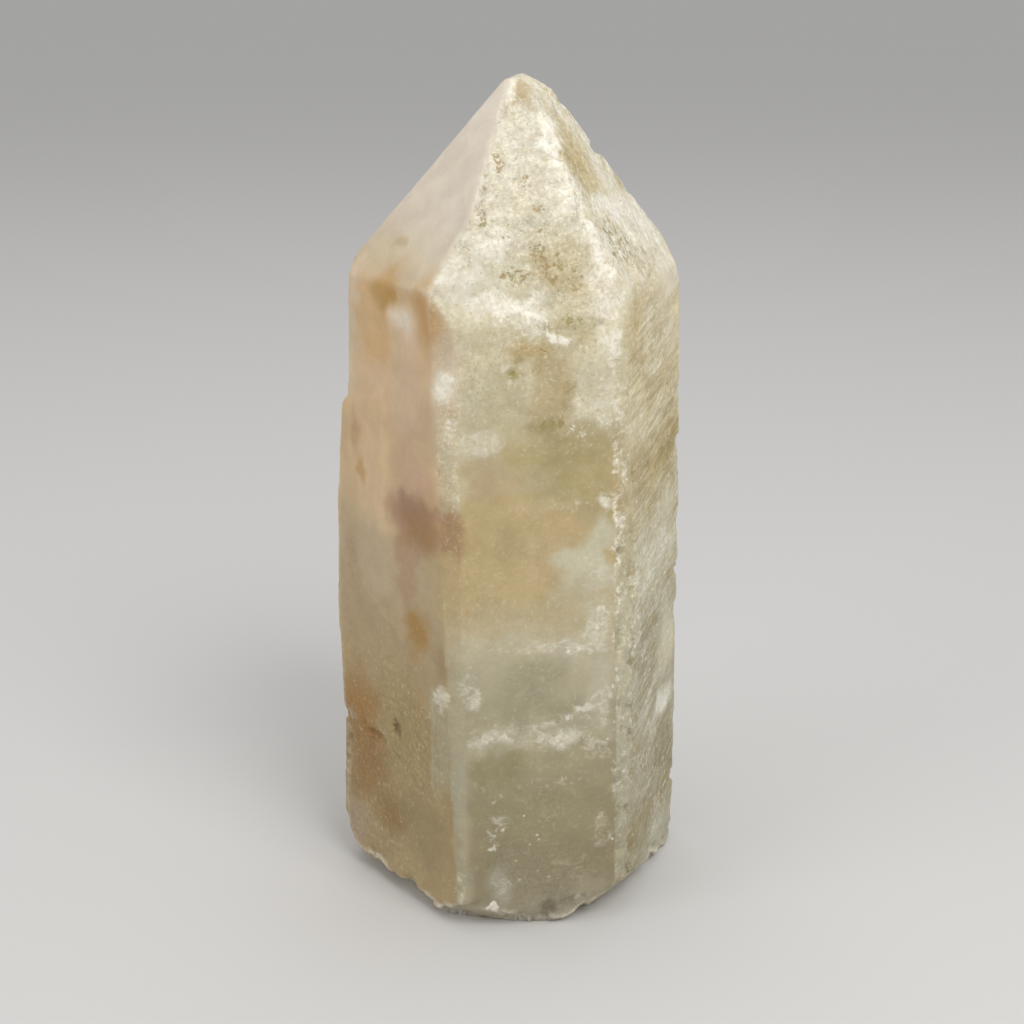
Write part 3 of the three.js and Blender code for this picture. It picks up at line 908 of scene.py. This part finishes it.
# ------------ material
class Tree:
    """A material's nodes, made by short calls."""

    def __init__(self, name):
        self.material = bpy.data.materials.new(name)
        self.material.use_nodes = True
        self.nodes = self.material.node_tree.nodes
        self.links = self.material.node_tree.links
        self.shader = self.nodes["Principled BSDF"]

    def feed(self, socket, value):
        """Link a socket to another, or set its value."""
        if isinstance(value, bpy.types.NodeSocket):
            self.links.new(value, socket)
        elif value is not None:
            socket.default_value = value

    def surface(self, inputs):
        """The finished material, with these as its shader's inputs."""
        for name, value in inputs.items():
            self.feed(self.shader.inputs[name], value)
        return self.material

    def node(self, kind, inputs, **settings):
        made = self.nodes.new(kind)
        for key, value in settings.items():
            setattr(made, key, value)
        for key, value in inputs.items():
            self.feed(made.inputs[key], value)
        return made

    def attribute(self, name, output="Fac"):
        return self.node("ShaderNodeAttribute", {}, attribute_name=name).outputs[output]

    def scaled(self, vector, scale):
        inputs = {0: vector, 1: scale}
        return self.node("ShaderNodeVectorMath", inputs, operation="MULTIPLY").outputs[0]

    def noise(self, vector, scale, detail=3.0, roughness=0.55, distortion=0.0):
        inputs = {"Vector": vector, "Scale": scale, "Detail": detail, "Roughness": roughness}
        inputs["Distortion"] = distortion
        return self.node("ShaderNodeTexNoise", inputs).outputs["Fac"]

    def math(self, operation, a, b=None):
        made = self.node("ShaderNodeMath", {0: a}, operation=operation)
        if b is not None:
            self.feed(made.inputs[1], b)
        return made.outputs[0]

    def ramp(self, value, low, high, to_low=0.0, to_high=1.0):
        """Changes smoothly from to_low to to_high as value goes from low to high."""
        inputs = {"Value": value, "From Min": low, "From Max": high, "To Min": to_low, "To Max": to_high}
        return self.node("ShaderNodeMapRange", inputs, interpolation_type="SMOOTHSTEP").outputs[0]

    def mix(self, factor, a, b, blend="MIX"):
        made = self.nodes.new("ShaderNodeMix")
        made.data_type = "RGBA"
        made.blend_type = blend
        self.feed(made.inputs[0], factor)
        self.feed(made.inputs[6], a)
        self.feed(made.inputs[7], b)
        return made.outputs[2]

    def over(self, colour, tone, mask, most):
        """A colour with a tone laid over it, at most this strong under the mask."""
        return self.mix(self.math("MULTIPLY", mask, most), colour, tone)

    def shade(self, colour, tone):
        """A colour made lighter or darker by a tone around 1."""
        grey = self.node("ShaderNodeCombineColor", {0: tone, 1: tone, 2: tone}).outputs[0]
        return self.mix(1.0, colour, grey, "MULTIPLY")

    def broken(self, noise, amount, limits, ramp):
        """Where noise passes a limit that falls from the first to the second as
        amount grows, through a ramp between two distances from it."""
        limit = self.ramp(amount, 0.0, 1.0, *limits)
        return self.ramp(self.math("SUBTRACT", noise, limit), *ramp)

    def tinted(self, colour, value, low, high, dark, light, share):
        """A colour times dark where value is low and times light where it is high."""
        tone = self.mix(self.ramp(value, low, high), dark, light)
        return self.mix(share, colour, self.mix(1.0, colour, tone, "MULTIPLY"))

    def capped(self, colour, most):
        """A colour with nothing in it brighter than a real stone can be."""
        inputs = {0: colour, 1: (most,) * 3}
        return self.node("ShaderNodeVectorMath", inputs, operation="MINIMUM").outputs[0]

    def bump(self, height, depth_mm, normal=None):
        inputs = {"Height": height, "Distance": depth_mm * MM, "Normal": normal}
        return self.node("ShaderNodeBump", inputs).outputs[0]


# How frost and streaks shift the colour under them, as red, green and blue
# factors.
DUSKY = (0.90, 0.88, 0.82, 1.0)
HAZY = (1.09, 1.11, 1.16, 1.0)
DUSKY_STREAK = (0.85, 0.81, 0.70, 1.0)
HAZY_STREAK = (1.13, 1.15, 1.22, 1.0)

# The tones of the layers over the body colour.
GOLD = "aa935e"
THREAD = "e6dfc9"
WISP = "c9c3ab"
VEIL = "dfdac8"
GRAIN = "efe9d8"
SPECK = "a4986c"
PIT_BROWN = "a0834b"
PIT_OLIVE = "968e53"
BRIGHTEST = 0.92

# The glow of light under the surface, and how strongly quartz bends light.
GLOW = 0.4
GLOW_RADIUS = (1.0, 0.75, 0.5)
GLOW_DEPTH = 2.0
QUARTZ_IOR = 1.54

# Roughness of the frost and the windows, and how much duller the crust is.
FROST_ROUGHNESS = 0.54
WINDOW_ROUGHNESS = 0.26
CRUST_DULLNESS = 0.25

# How deep the bumps are, in millimetres.
PIT_BUMP = 0.04
CRUST_BUMP = 0.02
STREAK_BUMP = 0.16
GRIT_BUMP = 0.20


class Skin(Tree):
    """The quartz's nodes, with the fields and noises that its layers share."""

    def __init__(self):
        super().__init__("milky_quartz")
        metres = self.nodes.new("ShaderNodeTexCoord").outputs["Object"]
        self.place = self.scaled(metres, (1 / MM,) * 3)
        self.flow = self.attribute("flow", "Vector")
        self.frosted = self.attribute("frost")
        self.clear = self.attribute("glass")
        self.gritty = self.attribute("grit")
        self.streaked = self.attribute("streak")
        self.clouds = self.noise(self.place, 0.25, 4.0, 0.55, 0.5)
        self.flecks = self.noise(self.place, 0.75, 7.0, 0.68, 0.2)
        self.sand = self.noise(self.place, 2.0, 5.0, 0.7, 0.2)
        self.specks = self.noise(self.place, 2.1, 4.0, 0.68, 0.5)
        self.streaks = self.noise(self.scaled(self.flow, STREAK_SQUEEZE), 2.0, 5.0, 0.76, 0.6)


def clouded(t):
    """The body colour, with its painted shade low down, in soft clouds."""
    return t.shade(t.attribute("body_colour_and_shade", "Color"), t.ramp(t.clouds, 0.3, 0.7, 0.94, 1.06))


def mottled(t, colour):
    """Creamier and duskier patches of frost that leave the average as it is."""
    return t.tinted(colour, t.flecks, 0.34, 0.66, DUSKY, HAZY, t.frosted)


def streaky(t, colour):
    """Streaks along the growth: broad and fine ones, and gold and cream threads."""
    broad = t.noise(t.scaled(t.flow, (0.22, 1.0, 0.6)), 0.42, 4.0, 0.6, 0.9)
    colour = t.tinted(colour, broad, 0.36, 0.64, DUSKY_STREAK, HAZY_STREAK, t.streaked)
    colour = t.tinted(colour, t.streaks, 0.41, 0.59, DUSKY_STREAK, HAZY_STREAK, t.streaked)
    threads = t.noise(t.scaled(t.flow, (0.20, 1.0, 0.8)), 1.1, 6.0, 0.7, 1.4)
    golden = t.math("MULTIPLY", t.ramp(threads, 0.56, 0.66), t.streaked)
    colour = t.over(colour, rgba(GOLD), golden, 0.6)
    creamy = t.math("MULTIPLY", t.ramp(threads, 0.44, 0.36), t.streaked)
    return t.over(colour, rgba(THREAD), creamy, 0.6)


def wispy(t, colour):
    """Feathery wisps in the windows."""
    wisps = t.noise(t.scaled(t.place, (0.6, 0.6, 1.0)), 0.6, 6.0, 0.62, 1.6)
    here = t.math("MULTIPLY", t.ramp(wisps, 0.52, 0.74), t.clear)
    return t.over(colour, rgba(WISP), here, 0.3)


def veiled(t, colour):
    """Soft clouds of white frost that end in feathers."""
    feathers = t.noise(t.scaled(t.place, (0.8, 0.8, 1.0)), 0.8, 7.0, 0.64, 1.4)
    misty = t.broken(feathers, t.attribute("veil"), (0.86, 0.32), (-0.14, 0.24))
    return t.over(colour, rgba(VEIL), misty, 0.7)


def sandy(t, colour):
    """A sandy grain, strongest in the grit."""
    grainy = t.shade(colour, t.ramp(t.sand, 0.3, 0.7, 0.82, 1.17))
    return t.mix(t.ramp(t.gritty, 0.0, 1.0, 0.12, 0.95), colour, grainy)


def sugary(t, colour):
    """White grains in the frost, and fine olive specks between them."""
    grains = t.math("MULTIPLY", t.ramp(t.sand, 0.56, 0.70), t.frosted)
    colour = t.over(colour, rgba(GRAIN), grains, 0.55)
    specked = t.math("MULTIPLY", t.ramp(t.specks, 0.57, 0.66), t.frosted)
    return t.over(colour, rgba(SPECK), specked, 0.62)


def crusted(t, colour):
    """The colour under the crust, and how thick the crust is."""
    crumbs = t.math("ADD", t.math("MULTIPLY", t.flecks, 0.5), t.math("MULTIPLY", t.sand, 0.5))
    thick = t.broken(crumbs, t.attribute("crust"), (0.80, 0.40), (-0.07, 0.14))
    white = t.shade(rgba(FROST), t.ramp(t.specks, 0.35, 0.62, 1.0, 0.86))
    return t.over(colour, white, thick, 0.85), thick


def pale_edged(t, colour):
    """Edges made pale: real worn frost on the root's rim, and painted highlights along the ridge and the
    outline edges.
    """
    breaks = t.ramp(t.flecks, 0.36, 0.62, 0.1, 0.7)
    return t.over(colour, rgba(SNOW), t.attribute("pale"), breaks)


def pitted(t, colour):
    """The colour with its brown and olive hollows, and where they are."""
    holes = t.noise(t.place, 1.5, 4.0, 0.62, 0.5)
    in_pit = t.broken(holes, t.attribute("pits"), (0.80, 0.46), (-0.02, 0.12))
    olive = t.ramp(t.noise(t.place, 0.3), 0.42, 0.58)
    return t.over(colour, t.mix(olive, rgba(PIT_BROWN), rgba(PIT_OLIVE)), in_pit, 0.85), in_pit


def sparkling(t, colour):
    """Tiny white sparks in the windows."""
    cells = t.node("ShaderNodeTexVoronoi", {"Vector": t.place, "Scale": 0.9}, feature="F1")
    here = t.math("MULTIPLY", t.ramp(t.clear, 0.5, 0.9), t.ramp(t.clouds, 0.50, 0.56))
    spark = t.math("MULTIPLY", t.ramp(cells.outputs["Distance"], 0.20, 0.06), here)
    return t.over(colour, rgba(SNOW), spark, 0.6)


def gloss(t, thick):
    """Roughness: glassier in the windows and dull on the crust."""
    rough = t.ramp(t.clear, 0.0, 1.0, FROST_ROUGHNESS, WINDOW_ROUGHNESS)
    rough = t.math("ADD", rough, t.math("MULTIPLY", thick, CRUST_DULLNESS))
    return t.math("ADD", rough, t.ramp(t.sand, 0.3, 0.7, -0.06, 0.06))


def fine_relief(t, in_pit, thick):
    """The finest pits, crust, streaks and grit, as bumps."""
    grit = t.math("MULTIPLY", t.noise(t.place, 1.7, 3.0, 0.6), t.ramp(t.gritty, 0.0, 1.0, 0.08, 1.0))
    normal = t.bump(t.math("MULTIPLY", in_pit, -1.0), PIT_BUMP)
    normal = t.bump(thick, CRUST_BUMP, normal)
    normal = t.bump(t.math("MULTIPLY", t.streaks, t.streaked), STREAK_BUMP, normal)
    return t.bump(grit, GRIT_BUMP, normal)


def quartz_material():
    """The whole stone: its colour layer on layer, its gloss and its bumps."""
    t = Skin()
    colour = clouded(t)
    for layer in (mottled, streaky, wispy, veiled, sandy, sugary):
        colour = layer(t, colour)
    colour, thick = crusted(t, colour)
    colour, in_pit = pitted(t, pale_edged(t, colour))
    return t.surface({
        "Base Color": t.capped(sparkling(t, colour), BRIGHTEST),
        "Roughness": gloss(t, thick),
        "Normal": fine_relief(t, in_pit, thick),
        "Subsurface Weight": GLOW,
        "Subsurface Radius": GLOW_RADIUS,
        "Subsurface Scale": GLOW_DEPTH * MM,
        "IOR": QUARTZ_IOR,
    })


quartz.data.materials.append(quartz_material())
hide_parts(NODE)
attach(quartz, "root")


# ------------ the studio
FLOOR_RADIUS = 20
FLOOR_GAP = 0.05 * MM  # how far the floor lies below the crystal
FLOOR_TONE = "cfcdca"
FLOOR_ROUGHNESS = 0.8

CAMERA_PLACE = (0, -0.200, 0.112)
CAMERA_PITCH = 18
LENS = 59.4
SENSOR_WIDTH = 36

# Where each softbox is, what it is aimed at, how wide it is and its watts.
Softbox = namedtuple("Softbox", "place aim size watts")
SOFTBOXES = {
    "key": Softbox((0.18, -0.30, 0.42), (0, 0, 0.07), 0.25, 1.3),
    "fill": Softbox((-0.55, -0.35, 0.30), (0, 0, 0.05), 0.40, 1.0),
    "top": Softbox((0, 0.15, 0.70), (0, 0, 0.05), 0.50, 0.8),
}
SKY_TONE = "f4f5f7"
SKY_STRENGTH = 0.62


def make_floor():
    place = (0, 0, -FLOOR_GAP)
    bpy.ops.mesh.primitive_circle_add(vertices=96, radius=FLOOR_RADIUS, fill_type="NGON", location=place)
    floor = bpy.context.object
    floor.name = "floor"
    inputs = {"Base Color": rgba(FLOOR_TONE), "Roughness": FLOOR_ROUGHNESS}
    floor.data.materials.append(Tree("pale_floor").surface(inputs))


def make_softbox(name, box):
    light = bpy.data.lights.new(name, "AREA")
    light.size = box.size
    light.energy = box.watts
    holder = add_object(name, light)
    holder.location = box.place
    towards = Vector(box.aim) - Vector(box.place)
    holder.rotation_euler = towards.to_track_quat("-Z", "Y").to_euler()
    holder.visible_camera = False


def make_camera():
    camera = bpy.data.cameras.new("camera")
    camera.sensor_width = SENSOR_WIDTH
    camera.lens = LENS
    camera.clip_start = 0.01
    holder = add_object("camera", camera)
    holder.location = CAMERA_PLACE
    holder.rotation_euler = (math.radians(90 - CAMERA_PITCH), 0, 0)
    bpy.context.scene.camera = holder


def make_world():
    world = bpy.data.worlds.new("studio")
    world.use_nodes = True
    sky = world.node_tree.nodes["Background"].inputs
    sky["Color"].default_value = rgba(SKY_TONE)
    sky["Strength"].default_value = SKY_STRENGTH
    bpy.context.scene.world = world


make_floor()
make_camera()
make_world()
for name, box in SOFTBOXES.items():
    make_softbox(name, box)
bpy.context.scene.view_settings.view_transform = "Standard"
